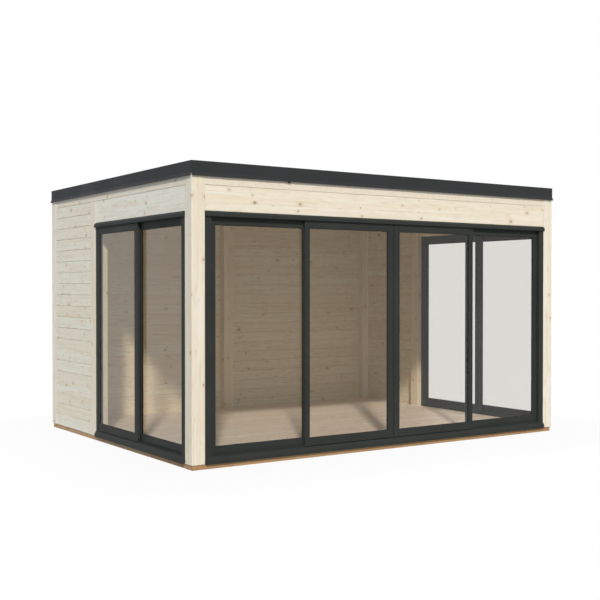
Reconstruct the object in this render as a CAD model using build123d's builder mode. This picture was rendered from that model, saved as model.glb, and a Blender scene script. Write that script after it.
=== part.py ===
"""Garden office pod: a post and board timber room with a flat roof and three sliding door sets.

Millimetres, +Z up. X runs right along the front, Y runs to the back, and the origin is the middle of
the footprint on the ground. On each wall, u runs along it as seen from outside, z is the height and
d is the depth into the wall from the outer face of its posts.
"""
import os

from build123d import *

# footprint over the outer faces of the corner posts
wall_width = 3935.0
wall_depth = 2985.0

# heights, stacked from the ground up
base_height = 42.0
floor_thickness = 26.0
door_height = 1924.0
header_height = 214.0
rafter_height = 120.0
kerb_height = 57.0
sheet = 3.0

# fits
hairline = 0.3  # a seated piece's distance from its seat
running_gap = 6.0  # around a moving piece
overrun = 40.0  # a cut passes its piece by this

# base and floor
base_inset = 10.5
base_beam_width = 110.0
joist_width = 70.0
joist_count = 7

# posts, boards and beams
post_size = 114.0
post_arris = 4.0
post_groove_depth = 12.0
board_recess = 3.0
board_thickness = 28.0
course_count = 20
beam_thickness = 86.0
beam_arris = 3.0
side_post_front = 370.0  # from the middle to the side wall post's front face, where the side door ends

# roof
rafter_width = 45.0
inner_rafter_count = 5
kerb_width = 40.0
deck_thickness = 19.0
membrane_thickness = 4.0

# folded sheet edge around the roof
fascia_face = 3.5  # its face stands this far in front of the posts
fascia_height = 117.0
drip_height = 29.0
drip_kick = 14.0
flange_lap = 11.0

# door frames
jamb_face = 58.0
jamb_arris = 2.0
head_drop = 26.0
head_web = 8.0
cap_lap = 18.0
cap_slope = 17.0
nose_radius = 5.0
frame_wall = 3.7  # inner walls of the head, the sill and the pockets
sill_height = 51.0
sill_nose_drop = 27.0
sill_nose_relief = 4.0
sill_upstand_height = 12.0
pocket_depth = 25.0
stop_jamb_face = 44.0
stop_jamb_leg = 20.0

# sashes
track_inset = 2.0
sash_thickness = 22.0
track_gap = 8.0
sash_arris = 2.0
bottom_rail = 66.0
top_rail = 74.0
glass_thickness = 6.0
glass_bite = 8.0
interlock_stile = 47.0
side_interlock_stile = 67.0
fixed_lock_stile = 76.0
side_fixed_stile = 66.0
meeting_stile = 62.0
side_lock_stile = 25.0
meeting_gap = 6.0
side_sash_width = 842.0
tongue_thickness = 3.0
tongue_bite = 8.0
tongue_clearance = 5.5
fin_thickness = 3.0
fin_inset = 5.0
fin_clearance = 5.5

# tracks and rollers
rib_thickness = 4.0
rib_height = 12.0
guide_bite = 10.0
track_groove = 14.0
roller_radius = 9.0
roller_width = 8.0
roller_clearance = 3.7
axle_radius = 3.0
roller_inset = 150.0

# heights worked out from the stack
floor_top = base_height + floor_thickness
header_foot = base_height + door_height
wall_top = header_foot + header_height
plate_top = wall_top + rafter_height
kerb_top = plate_top + kerb_height
total_height = kerb_top + sheet
board_course = (wall_top - base_height) / course_count
back_beam_foot = wall_top - board_course
deck_top = plate_top + deck_thickness
fascia_foot = total_height - fascia_height
drip_top = fascia_foot + drip_height

# places worked out from the footprint
half_width = wall_width / 2
half_depth = wall_depth / 2
half_post = post_size / 2
inner_half_width = half_width - post_size
inner_half_depth = half_depth - post_size
side_post_back = side_post_front + post_size
board_back = board_recess + board_thickness
beam_back = board_recess + beam_thickness
kerb_back = board_recess + kerb_width
flange_back = kerb_back + flange_lap
drip_reach = fascia_face + drip_kick  # for the drip edge, the sill's nose and the door head's cap

# each wall's outer face, seen from outside
front_face = Plane(origin=(0, -half_depth, 0), x_dir=(1, 0, 0), z_dir=(0, -1, 0))
back_face = Plane(origin=(0, half_depth, 0), x_dir=(-1, 0, 0), z_dir=(0, 1, 0))
left_face = Plane(origin=(-half_width, 0, 0), x_dir=(0, -1, 0), z_dir=(-1, 0, 0))
right_face = Plane(origin=(half_width, 0, 0), x_dir=(0, 1, 0), z_dir=(1, 0, 0))

os.makedirs("parts", exist_ok=True)


def wall_block(face, u_from, u_to, z_from, z_to, d_from, d_to, mode=Mode.ADD):
    # a square block in a wall, drawn on the wall's face at depth d_from and carried inwards
    with BuildSketch(face.offset(-d_from)) as outline:
        with Locations(((u_from + u_to) / 2, (z_from + z_to) / 2)):
            Rectangle(u_to - u_from, z_to - z_from)
    extrude(outline.sketch, amount=d_to - d_from, dir=-face.z_dir, mode=mode)


def plan_block(x_from, x_to, y_from, y_to, z_from, z_to, mode=Mode.ADD):
    # a square block drawn in plan and carried upwards
    with BuildSketch(Plane.XY.offset(z_from)) as outline:
        with Locations(((x_from + x_to) / 2, (y_from + y_to) / 2)):
            Rectangle(x_to - x_from, y_to - y_from)
    extrude(outline.sketch, amount=z_to - z_from, dir=(0, 0, 1), mode=mode)


def ease_along(direction, size):
    # takes the arrises off the block made last, on its edges that run this way
    chamfer(edges(Select.LAST).filter_by(Axis((0, 0, 0), direction)), length=size)


def round_along(direction, size):
    # rounds the block made last, on its edges that run this way
    fillet(edges(Select.LAST).filter_by(Axis((0, 0, 0), direction)), radius=size)


def wall_profile(face, u_from, u_to, points, nose=0):
    # a profile of (d, z) points carried along a wall, with its outermost corners rounded
    section = Plane(origin=face.from_local_coords((u_from, 0, 0)), x_dir=-face.z_dir, z_dir=face.x_dir)
    with BuildSketch(section) as profile:
        with BuildLine():
            Polyline(*points, close=True)
        make_face()
        if nose:
            fillet(profile.vertices().group_by(Axis.X)[0], radius=nose)
    extrude(profile.sketch, amount=u_to - u_from, dir=face.x_dir)


def upright_profile(face, z_from, z_to, points, arris):
    # a profile of (u, d) points carried upwards, with the corners on the wall's face rounded
    plan = Plane(origin=face.from_local_coords((0, z_from, 0)), x_dir=face.x_dir, z_dir=(0, 0, 1))
    with BuildSketch(plan) as profile:
        with BuildLine():
            Polyline(*points, close=True)
        make_face()
        fillet(profile.vertices().group_by(Axis.Y)[0], radius=arris)
    extrude(profile.sketch, amount=z_to - z_from, dir=(0, 0, 1))


def wall_disc(face, u, z, radius, d_from, d_to):
    # a round disc whose axis goes through the wall
    with BuildSketch(face.offset(-d_from)) as outline:
        with Locations((u, z)):
            Circle(radius)
    extrude(outline.sketch, amount=d_to - d_from, dir=-face.z_dir)


# base: two long beams, with cross beams between them
beam_x = half_width - base_inset
beam_y = half_depth - base_inset
inner_beam_x = beam_x - base_beam_width
inner_beam_y = beam_y - base_beam_width
with BuildPart() as base_long_beams:
    for y_from, y_to in ((-beam_y, -inner_beam_y), (inner_beam_y, beam_y)):
        plan_block(-beam_x, beam_x, y_from, y_to, 0, base_height)
        ease_along((1, 0, 0), beam_arris)
base_long_beams.part.label = "base_long_beams"
export_step(base_long_beams.part, "parts/base_long_beams.step")

with BuildPart() as base_cross_beams:
    joist_pitch = inner_beam_x * 2 / (joist_count + 1)
    joists = [joist_pitch * (index + 1) - inner_beam_x for index in range(joist_count)]
    spans = [(x - joist_width / 2, x + joist_width / 2) for x in joists]
    for x_from, x_to in [(-beam_x, -inner_beam_x), *spans, (inner_beam_x, beam_x)]:
        plan_block(x_from, x_to, -inner_beam_y, inner_beam_y, 0, base_height)
        ease_along((0, 1, 0), beam_arris)
base_cross_beams.part.label = "base_cross_beams"
export_step(base_cross_beams.part, "parts/base_cross_beams.step")

# depths of the two tracks, which the frames, the sashes and the floor's edge share
outer_track = track_inset
outer_back = outer_track + sash_thickness
outer_middle = outer_track + sash_thickness / 2
inner_track = outer_back + track_gap
inner_middle = inner_track + sash_thickness / 2
inner_wall = inner_track + sash_thickness + hairline
frame_depth = inner_wall + frame_wall

# floor: one deck, cut back around the posts and behind the door sills
with BuildPart() as floor_deck:
    floor_x = half_width - board_back - hairline
    floor_y = half_depth - board_back - hairline
    plan_block(-floor_x, floor_x, -floor_y, floor_y, base_height, floor_top)
    post_x = inner_half_width - hairline
    post_y = inner_half_depth - hairline
    side_line = half_width - frame_depth - hairline
    door_line = half_depth - frame_depth - hairline
    back_line = half_post + hairline
    cuts = [
        (-half_width, half_width, -half_depth, -door_line),
        (-back_line, back_line, post_y, half_depth),
    ]
    for x_from, x_to in ((-half_width, -post_x), (post_x, half_width)):
        cuts.append((x_from, x_to, -half_depth, -post_y))
        cuts.append((x_from, x_to, post_y, half_depth))
        cuts.append((x_from, x_to, side_post_front - hairline, side_post_back + hairline))
    for x_from, x_to in ((-half_width, -side_line), (side_line, half_width)):
        cuts.append((x_from, x_to, -half_depth, side_post_front))
    for cut in cuts:
        plan_block(*cut, base_height, floor_top + overrun, mode=Mode.SUBTRACT)
floor_deck.part.label = "floor_deck"
export_step(floor_deck.part, "parts/floor_deck.step")

# posts: each stands on the base, and a board's end sits in a groove of its post
groove_depths = (board_recess - hairline, board_back + hairline)
corners = ((-half_width, -inner_half_width), (inner_half_width, half_width))
with BuildPart() as front_corner_posts:
    for ends in corners:
        wall_block(front_face, *ends, base_height, plate_top, 0, post_size)
        ease_along((0, 0, 1), post_arris)
front_corner_posts.part.label = "front_corner_posts"
export_step(front_corner_posts.part, "parts/front_corner_posts.step")


def board_groove(face, edge, top):
    # a groove down a post's side, for the ends of the boards
    wall_block(
        face, edge - post_groove_depth, edge + post_groove_depth, base_height, top,
        *groove_depths, mode=Mode.SUBTRACT,
    )


# the back corner posts take the back wall's boards and their own side wall's boards
sides = ((left_face, -1), (right_face, 1))  # each side wall, with the way along it to the back
with BuildPart() as back_corner_posts:
    for ends in corners:
        wall_block(back_face, *ends, base_height, plate_top, 0, post_size)
        ease_along((0, 0, 1), post_arris)
    for face, way in sides:
        board_groove(face, way * inner_half_depth, wall_top)
        board_groove(back_face, way * inner_half_width, back_beam_foot)
back_corner_posts.part.label = "back_corner_posts"
export_step(back_corner_posts.part, "parts/back_corner_posts.step")

# posts within the walls: one behind each side door and one in the middle of the back
with BuildPart() as wall_posts:
    for face, way in sides:
        ends = sorted((way * side_post_front, way * side_post_back))
        wall_block(face, *ends, base_height, wall_top, 0, post_size)
        ease_along((0, 0, 1), post_arris)
        board_groove(face, way * side_post_back, wall_top)
    wall_block(back_face, -half_post, half_post, base_height, back_beam_foot, 0, post_size)
    ease_along((0, 0, 1), post_arris)
    board_groove(back_face, -half_post, back_beam_foot)
    board_groove(back_face, half_post, back_beam_foot)
wall_posts.part.label = "wall_posts"
export_step(wall_posts.part, "parts/wall_posts.step")

# boarded bays, each one slab of boards
board_bite = post_groove_depth - hairline
with BuildPart() as side_wall_boards:
    for face, way in sides:
        ends = sorted((way * (side_post_back - board_bite), way * (inner_half_depth + board_bite)))
        wall_block(face, *ends, base_height, wall_top, board_recess, board_back)
side_wall_boards.part.label = "side_wall_boards"
export_step(side_wall_boards.part, "parts/side_wall_boards.step")

with BuildPart() as back_wall_boards:
    for way in (-1, 1):
        ends = sorted((way * (half_post - board_bite), way * (inner_half_width + board_bite)))
        wall_block(back_face, *ends, base_height, back_beam_foot, board_recess, board_back)
back_wall_boards.part.label = "back_wall_boards"
export_step(back_wall_boards.part, "parts/back_wall_boards.step")

# beams over the doors and along the back, from post to post
for label, foot, runs in (
    ("front_header_beam", header_foot, [(front_face, -inner_half_width, inner_half_width)]),
    ("side_header_beams", header_foot, [
        (left_face, -side_post_front, inner_half_depth),
        (right_face, -inner_half_depth, side_post_front),
    ]),
    ("back_beam", back_beam_foot, [(back_face, -inner_half_width, inner_half_width)]),
):
    with BuildPart() as beams:
        for face, u_from, u_to in runs:
            wall_block(face, u_from, u_to, foot, wall_top, board_recess, beam_back)
            ease_along(face.x_dir, beam_arris)
    beams.part.label = label
    export_step(beams.part, f"parts/{label}.step")

# plates that close the rafters' ends and the roof's sides
with BuildPart() as top_plates:
    for face, reach in (
        (front_face, inner_half_width),
        (back_face, inner_half_width),
        (left_face, inner_half_depth),
        (right_face, inner_half_depth),
    ):
        wall_block(face, -reach, reach, wall_top, plate_top, board_recess, board_back)
        ease_along(face.x_dir, beam_arris)
top_plates.part.label = "top_plates"
export_step(top_plates.part, "parts/top_plates.step")

# roof: rafters from front to back, a kerb around the edge, a boarded deck and its membrane
plate_line = half_depth - board_back
edge_rafter_x = half_width - board_back
half_rafter = rafter_width / 2
with BuildPart() as roof_rafters:
    rafter_pitch = (edge_rafter_x - half_rafter) * 2 / (inner_rafter_count + 1)
    for index in range(inner_rafter_count + 2):
        rafter_x = rafter_pitch * index - edge_rafter_x + half_rafter
        reach = plate_line if 0 < index <= inner_rafter_count else inner_half_depth
        plan_block(rafter_x - half_rafter, rafter_x + half_rafter, -reach, reach, wall_top, plate_top)
        ease_along((0, 1, 0), beam_arris)
roof_rafters.part.label = "roof_rafters"
export_step(roof_rafters.part, "parts/roof_rafters.step")

kerb_x = half_width - board_recess
deck_x = half_width - kerb_back - hairline
deck_y = half_depth - kerb_back - hairline
with BuildPart() as roof_kerb:
    for face, reach in ((front_face, kerb_x), (back_face, kerb_x), (left_face, deck_y), (right_face, deck_y)):
        wall_block(face, -reach, reach, plate_top, kerb_top, board_recess, kerb_back)
roof_kerb.part.label = "roof_kerb"
export_step(roof_kerb.part, "parts/roof_kerb.step")

with BuildPart() as roof_deck:
    plan_block(-deck_x, deck_x, -deck_y, deck_y, plate_top, deck_top)
roof_deck.part.label = "roof_deck"
export_step(roof_deck.part, "parts/roof_deck.step")

with BuildPart() as roof_membrane:
    plan_block(-deck_x, deck_x, -deck_y, deck_y, deck_top, deck_top + membrane_thickness)
roof_membrane.part.label = "roof_membrane"
export_step(roof_membrane.part, "parts/roof_membrane.step")

# folded sheet edge: a flange on the kerb, a flat face and a drip edge that kicks out at the foot
fascia_points = (
    (flange_back, kerb_top),
    (flange_back, total_height),
    (-fascia_face, total_height),
    (-fascia_face, drip_top),
    (-drip_reach, fascia_foot),
    (sheet - drip_reach, fascia_foot),
    (sheet - fascia_face, drip_top),
    (sheet - fascia_face, kerb_top),
)
long_reach = half_width + fascia_face
for label, face in (("front_fascia", front_face), ("back_fascia", back_face)):
    with BuildPart() as long_fascia:
        wall_profile(face, -long_reach, long_reach, fascia_points)
    long_fascia.part.label = label
    export_step(long_fascia.part, f"parts/{label}.step")

# the side pieces end against the long ones, and their flange is cut back at the corners
side_reach = half_depth + fascia_face - sheet
flange_end = half_depth - flange_back - hairline
for label, face in (("left_fascia", left_face), ("right_fascia", right_face)):
    with BuildPart() as side_fascia:
        wall_profile(face, -side_reach, side_reach, fascia_points)
        for ends in ((-side_reach - overrun, -flange_end), (flange_end, side_reach + overrun)):
            wall_block(
                face, *ends, kerb_top - hairline, total_height + overrun,
                -drip_reach, flange_back + overrun, mode=Mode.SUBTRACT,
            )
    side_fascia.part.label = label
    export_step(side_fascia.part, f"parts/{label}.step")

# heights inside the door frames
head_foot = header_foot - head_drop
channel_top = header_foot - head_web
sash_top = channel_top - running_gap
guide_foot = sash_top - guide_bite
sill_bed = base_height + sill_height
sash_foot = sill_bed + running_gap
rib_top = sill_bed + rib_height
sill_upstand = sill_bed + sill_upstand_height
glass_foot = sash_foot + bottom_rail
glass_top = sash_top - top_rail
guide_groove = guide_bite + running_gap
fixed_groove = rib_top - sash_foot
roller_groove = fixed_groove + hairline + roller_radius * 2 + roller_clearance
cap_back = running_gap - outer_track
rib_half = rib_thickness / 2

# the head: a cap with a sloped top outside, a channel over both tracks and a guide rib in each
head_points = (
    (board_recess, header_foot + cap_lap),
    (board_recess, header_foot),
    (frame_depth, header_foot),
    (frame_depth, head_foot),
    (inner_wall, head_foot),
    (inner_wall, channel_top),
    (inner_middle + rib_half, channel_top),
    (inner_middle + rib_half, guide_foot),
    (inner_middle - rib_half, guide_foot),
    (inner_middle - rib_half, channel_top),
    (outer_middle + rib_half, channel_top),
    (outer_middle + rib_half, guide_foot),
    (outer_middle - rib_half, guide_foot),
    (outer_middle - rib_half, channel_top),
    (-cap_back, channel_top),
    (-cap_back, head_foot),
    (-drip_reach, head_foot),
    (-drip_reach, header_foot + cap_lap - cap_slope),
)

# the sill: a sloped nose outside, a bed with a track rib under each sash and an upstand inside
sill_points = (
    (0, base_height),
    (frame_depth, base_height),
    (frame_depth, sill_upstand),
    (inner_wall, sill_upstand),
    (inner_wall, sill_bed),
    (inner_middle + rib_half, sill_bed),
    (inner_middle + rib_half, rib_top),
    (inner_middle - rib_half, rib_top),
    (inner_middle - rib_half, sill_bed),
    (outer_middle + rib_half, sill_bed),
    (outer_middle + rib_half, rib_top),
    (outer_middle - rib_half, rib_top),
    (outer_middle - rib_half, sill_bed),
    (0, sill_bed),
    (-drip_reach, sill_bed - sill_nose_drop),
    (-drip_reach, base_height + sill_nose_relief),
    (0, base_height + sill_nose_relief),
)


def pocket_jamb(edge, way):
    # plan of a jamb with a pocket for a fixed sash on the inner track
    face_edge = edge + way * jamb_face
    pocket_end = edge + way * (jamb_face - pocket_depth)
    pocket_from = inner_track - hairline
    return (
        (edge, 0),
        (face_edge, 0),
        (face_edge, pocket_from),
        (pocket_end, pocket_from),
        (pocket_end, inner_wall),
        (face_edge, inner_wall),
        (face_edge, frame_depth),
        (edge, frame_depth),
    )


# where the closing jamb steps back, behind the outer sash
leg_from = outer_back + running_gap


def stop_jamb(edge, way):
    # plan of a jamb that a sliding sash closes against, thinner where the inner track is empty
    face_edge = edge + way * stop_jamb_face
    leg_edge = edge + way * stop_jamb_leg
    return (
        (edge, 0),
        (face_edge, 0),
        (face_edge, leg_from),
        (leg_edge, leg_from),
        (leg_edge, frame_depth),
        (edge, frame_depth),
    )


# steps of each jamb's plan, as how far it reaches and how deep that goes, for cutting head and sill
jamb_steps = {
    pocket_jamb: ((jamb_face, frame_depth),),
    stop_jamb: ((stop_jamb_face, leg_from), (stop_jamb_leg, frame_depth)),
}

# where each door set runs from post to post, seen from outside
front_run = (front_face, -inner_half_width, inner_half_width)
left_run = (left_face, -side_post_front, inner_half_depth)
right_run = (right_face, -inner_half_depth, side_post_front)

# head and sill run across, cut out around the jambs, which stand from the base to the header
for name, (face, u_from, u_to), left_jamb in (
    ("front", front_run, pocket_jamb),
    ("left", left_run, stop_jamb),
    ("right", right_run, stop_jamb),
):
    left_points = left_jamb(u_from, 1)
    right_points = pocket_jamb(u_to, -1)
    cuts = [(u_from - overrun, u_from + reach + hairline, depth) for reach, depth in jamb_steps[left_jamb]]
    cuts += [(u_to - reach - hairline, u_to + overrun, depth) for reach, depth in jamb_steps[pocket_jamb]]
    for piece, points, cut_from, cut_to in (
        ("head", head_points, head_foot - overrun, header_foot + hairline),
        ("sill", sill_points, base_height - overrun, sill_upstand + overrun),
    ):
        with BuildPart() as frame_rail:
            wall_profile(face, u_from + hairline, u_to - hairline, points, nose=nose_radius)
            for end_from, end_to, depth in cuts:
                wall_block(
                    face, end_from, end_to, cut_from, cut_to, -hairline, depth + hairline, mode=Mode.SUBTRACT
                )
        frame_rail.part.label = f"{name}_frame_{piece}"
        export_step(frame_rail.part, f"parts/{name}_frame_{piece}.step")
    with BuildPart() as frame_jambs:
        upright_profile(face, base_height, header_foot, left_points, jamb_arris)
        upright_profile(face, base_height, header_foot, right_points, jamb_arris)
    frame_jambs.part.label = f"{name}_frame_jambs"
    export_step(frame_jambs.part, f"parts/{name}_frame_jambs.step")

fin_foot = sash_foot + roller_groove
fin_top = sash_top - guide_groove
fin_reach = track_gap - fin_clearance


def sash_bars(face, u_from, u_to, left_stile, right_stile, track, foot_groove):
    # two stiles and two rails, grooved for the glass, for the guide rib and for the track rib
    depths = (track, track + sash_thickness)
    middle = track + sash_thickness / 2
    rail_ends = (u_from + left_stile + hairline, u_to - right_stile - hairline)
    for ends in ((u_from, u_from + left_stile), (u_to - right_stile, u_to)):
        wall_block(face, *ends, sash_foot, sash_top, *depths)
        round_along((0, 0, 1), sash_arris)
    for heights in ((sash_foot, glass_foot), (glass_top, sash_top)):
        wall_block(face, *rail_ends, *heights, *depths)
        round_along(face.x_dir, sash_arris)
    groove = (middle - track_groove / 2, middle + track_groove / 2)
    cut = (u_from - overrun, u_to + overrun)
    wall_block(face, *cut, sash_top - guide_groove, sash_top + overrun, *groove, mode=Mode.SUBTRACT)
    wall_block(face, *cut, sash_foot - overrun, sash_foot + foot_groove, *groove, mode=Mode.SUBTRACT)
    seat = glass_thickness / 2 + hairline
    wall_block(
        face, u_from + left_stile - glass_bite, u_to - right_stile + glass_bite,
        glass_foot - glass_bite, glass_top + glass_bite, middle - seat, middle + seat, mode=Mode.SUBTRACT,
    )


def sash_glass(face, u_from, u_to, left_stile, right_stile, track):
    # a pane that stands in the grooves of its sash
    middle = track + sash_thickness / 2
    edge = glass_bite - hairline
    wall_block(
        face, u_from + left_stile - edge, u_to - right_stile + edge, glass_foot - glass_bite,
        glass_top + edge, middle - glass_thickness / 2, middle + glass_thickness / 2,
    )


def sash_rollers(face, u_from, u_to, track):
    # two wheels on their axles, just over the track rib
    middle = track + sash_thickness / 2
    axle_height = rib_top + hairline + roller_radius
    for u in (u_from + roller_inset, u_to - roller_inset):
        wall_disc(face, u, axle_height, axle_radius, middle - track_groove / 2, middle + track_groove / 2)
        wall_disc(face, u, axle_height, roller_radius, middle - roller_width / 2, middle + roller_width / 2)


def fixed_fin(face, edge, way):
    # a fin on a fixed sash's interlocking stile, which reaches outwards
    ends = sorted((edge + way * fin_inset, edge + way * (fin_inset + fin_thickness)))
    wall_block(face, *ends, fin_foot, fin_top, inner_track - fin_reach, inner_track)


def sliding_fin(face, edge, way):
    # a fin on a sliding sash's interlocking stile, which reaches inwards
    ends = sorted((edge + way * fin_inset, edge + way * (fin_inset + fin_thickness)))
    wall_block(face, *ends, fin_foot, fin_top, outer_back, outer_back + fin_reach)


# front doors: two fixed sashes on the inner track and two sliding ones on the outer, with equal panes
half_gap = meeting_gap / 2
fixed_end = inner_half_width - jamb_face + pocket_depth - hairline
interlock_start = (fixed_end - fixed_lock_stile - interlock_stile + half_gap + meeting_stile) / 2
interlock_end = interlock_start + interlock_stile
front_left_fixed = (front_face, -fixed_end, -interlock_start, fixed_lock_stile, interlock_stile, inner_track)
front_right_fixed = (front_face, interlock_start, fixed_end, interlock_stile, fixed_lock_stile, inner_track)
front_left = (front_face, -interlock_end, -half_gap, interlock_stile, meeting_stile, outer_track)
front_right = (front_face, half_gap, interlock_end, meeting_stile, interlock_stile, outer_track)

with BuildPart() as front_fixed_sashes:
    sash_bars(*front_left_fixed, fixed_groove)
    sash_bars(*front_right_fixed, fixed_groove)
    fixed_fin(front_face, -interlock_start, -1)
    fixed_fin(front_face, interlock_start, 1)
front_fixed_sashes.part.label = "front_fixed_sashes"
export_step(front_fixed_sashes.part, "parts/front_fixed_sashes.step")

with BuildPart() as front_fixed_glass:
    sash_glass(*front_left_fixed)
    sash_glass(*front_right_fixed)
front_fixed_glass.part.label = "front_fixed_glass"
export_step(front_fixed_glass.part, "parts/front_fixed_glass.step")

# the left sliding sash has a tongue on its meeting stile, which stands clear in the right one's groove
half_tongue = tongue_thickness / 2
tongue_tip = meeting_gap + tongue_bite - half_gap
with BuildPart() as front_left_sliding_sash:
    sash_bars(*front_left, roller_groove)
    sliding_fin(front_face, -interlock_end, 1)
    wall_block(
        front_face, -half_gap, tongue_tip, fin_foot, fin_top,
        outer_middle - half_tongue, outer_middle + half_tongue,
    )
front_left_sliding_sash.part.label = "front_left_sliding_sash"
export_step(front_left_sliding_sash.part, "parts/front_left_sliding_sash.step")

with BuildPart() as front_right_sliding_sash:
    sash_bars(*front_right, roller_groove)
    sliding_fin(front_face, interlock_end, -1)
    groove_half = half_tongue + tongue_clearance
    wall_block(
        front_face, half_gap - overrun, tongue_tip + running_gap, sash_foot - overrun, sash_top + overrun,
        outer_middle - groove_half, outer_middle + groove_half, mode=Mode.SUBTRACT,
    )
front_right_sliding_sash.part.label = "front_right_sliding_sash"
export_step(front_right_sliding_sash.part, "parts/front_right_sliding_sash.step")

def side_doors(face, u_from, u_to):
    # a side's two sashes: seen from outside, the left one slides past the fixed right one
    sliding_from = u_from + stop_jamb_face + running_gap
    sliding_to = sliding_from + side_sash_width
    fixed_from = sliding_to - side_interlock_stile
    fixed_to = u_to - jamb_face + pocket_depth - hairline
    sliding = (face, sliding_from, sliding_to, side_lock_stile, side_interlock_stile, outer_track)
    fixed = (face, fixed_from, fixed_to, side_interlock_stile, side_fixed_stile, inner_track)
    return sliding, fixed


# the side doors are the same unit on both sides, so the right one is the left one turned round
left_sliding, left_fixed = side_doors(*left_run)
right_sliding, right_fixed = side_doors(*right_run)

with BuildPart() as side_fixed_sashes:
    for place in (left_fixed, right_fixed):
        sash_bars(*place, fixed_groove)
        fixed_fin(*place[:2], 1)
side_fixed_sashes.part.label = "side_fixed_sashes"
export_step(side_fixed_sashes.part, "parts/side_fixed_sashes.step")

with BuildPart() as side_fixed_glass:
    sash_glass(*left_fixed)
    sash_glass(*right_fixed)
side_fixed_glass.part.label = "side_fixed_glass"
export_step(side_fixed_glass.part, "parts/side_fixed_glass.step")

for label, place in (("left_sliding_sash", left_sliding), ("right_sliding_sash", right_sliding)):
    with BuildPart() as sliding_sash:
        sash_bars(*place, roller_groove)
        sliding_fin(place[0], place[2], -1)
    sliding_sash.part.label = label
    export_step(sliding_sash.part, f"parts/{label}.step")

# panes and rollers of the sliding sashes
for label, place in (
    ("front_left_sliding_glass", front_left),
    ("front_right_sliding_glass", front_right),
    ("left_sliding_glass", left_sliding),
    ("right_sliding_glass", right_sliding),
):
    with BuildPart() as pane:
        sash_glass(*place)
    pane.part.label = label
    export_step(pane.part, f"parts/{label}.step")

for label, (face, u_from, u_to, left_stile, right_stile, track) in (
    ("front_left_rollers", front_left),
    ("front_right_rollers", front_right),
    ("left_rollers", left_sliding),
    ("right_rollers", right_sliding),
):
    with BuildPart() as rollers:
        sash_rollers(face, u_from, u_to, track)
    rollers.part.label = label
    export_step(rollers.part, f"parts/{label}.step")
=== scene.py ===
import math

import bpy
import numpy as np
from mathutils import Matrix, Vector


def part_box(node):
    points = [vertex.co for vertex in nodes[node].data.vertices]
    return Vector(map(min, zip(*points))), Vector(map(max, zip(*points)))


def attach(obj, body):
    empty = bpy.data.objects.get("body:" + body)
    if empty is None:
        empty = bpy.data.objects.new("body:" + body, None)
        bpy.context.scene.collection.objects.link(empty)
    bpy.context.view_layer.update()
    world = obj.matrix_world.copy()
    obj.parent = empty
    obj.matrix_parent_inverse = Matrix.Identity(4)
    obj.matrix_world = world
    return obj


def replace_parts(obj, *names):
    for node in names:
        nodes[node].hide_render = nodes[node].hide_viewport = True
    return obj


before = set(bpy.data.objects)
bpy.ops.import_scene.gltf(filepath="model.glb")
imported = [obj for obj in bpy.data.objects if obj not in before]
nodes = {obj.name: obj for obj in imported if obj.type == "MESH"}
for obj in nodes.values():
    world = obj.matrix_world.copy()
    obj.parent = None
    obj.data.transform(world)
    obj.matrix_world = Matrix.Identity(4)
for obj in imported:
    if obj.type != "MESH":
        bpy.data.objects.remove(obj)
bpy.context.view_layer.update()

print("frame loaded:", len(nodes), "nodes")


# node helpers: any node, sums, vector sums, colour mixes, a value spread over a range, stretched noise
def put(tree, kind, inputs=None, **settings):
    made = tree.nodes.new("ShaderNode" + kind)
    for key, value in settings.items():
        setattr(made, key, value)
    for key, value in (inputs or {}).items():
        if isinstance(value, bpy.types.NodeSocket):
            tree.links.new(value, made.inputs[key])
        else:
            made.inputs[key].default_value = value
    return made


def calc(tree, operation, *values):
    return put(tree, "Math", dict(enumerate(values)), operation=operation).outputs[0]


def vector(tree, operation, *values):
    made = put(tree, "VectorMath", dict(enumerate(values)), operation=operation)
    return made.outputs["Value" if operation == "LENGTH" else "Vector"]


def mixed(tree, factor, first, second, mode="MIX"):
    made = put(tree, "Mix", {0: factor, 6: first, 7: second}, data_type="RGBA", blend_type=mode)
    return made.outputs[2]


def spread(tree, value, lowIn, highIn, lowOut, highOut, kind="SMOOTHSTEP"):
    inputs = {0: value, 1: lowIn, 2: highIn, 3: lowOut, 4: highOut}
    return put(tree, "MapRange", inputs, interpolation_type=kind).outputs[0]


def noise(tree, place, scale, detail):
    stretched = vector(tree, "MULTIPLY", place, scale)
    return put(tree, "TexNoise", {"Vector": stretched, "Scale": 1.0, "Detail": detail})


# a material with an empty tree, then helpers for the height of a grain and for an opaque finish
def freshMaterial(name):
    material = bpy.data.materials.new(name)
    material.use_nodes = True
    material.node_tree.nodes.clear()
    return material, material.node_tree


def bumped(tree, height, strength, distance):
    return put(tree, "Bump", {"Height": height, "Strength": strength, "Distance": distance}).outputs[0]


def opaque(tree, colour, rough, gloss, normal):
    inputs = {"Base Color": colour, "Roughness": rough, "Specular IOR Level": gloss, "Normal": normal}
    return put(tree, "BsdfPrincipled", inputs).outputs[0]


def finishMaterial(tree, shader):
    put(tree, "OutputMaterial", {"Surface": shader})


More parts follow.
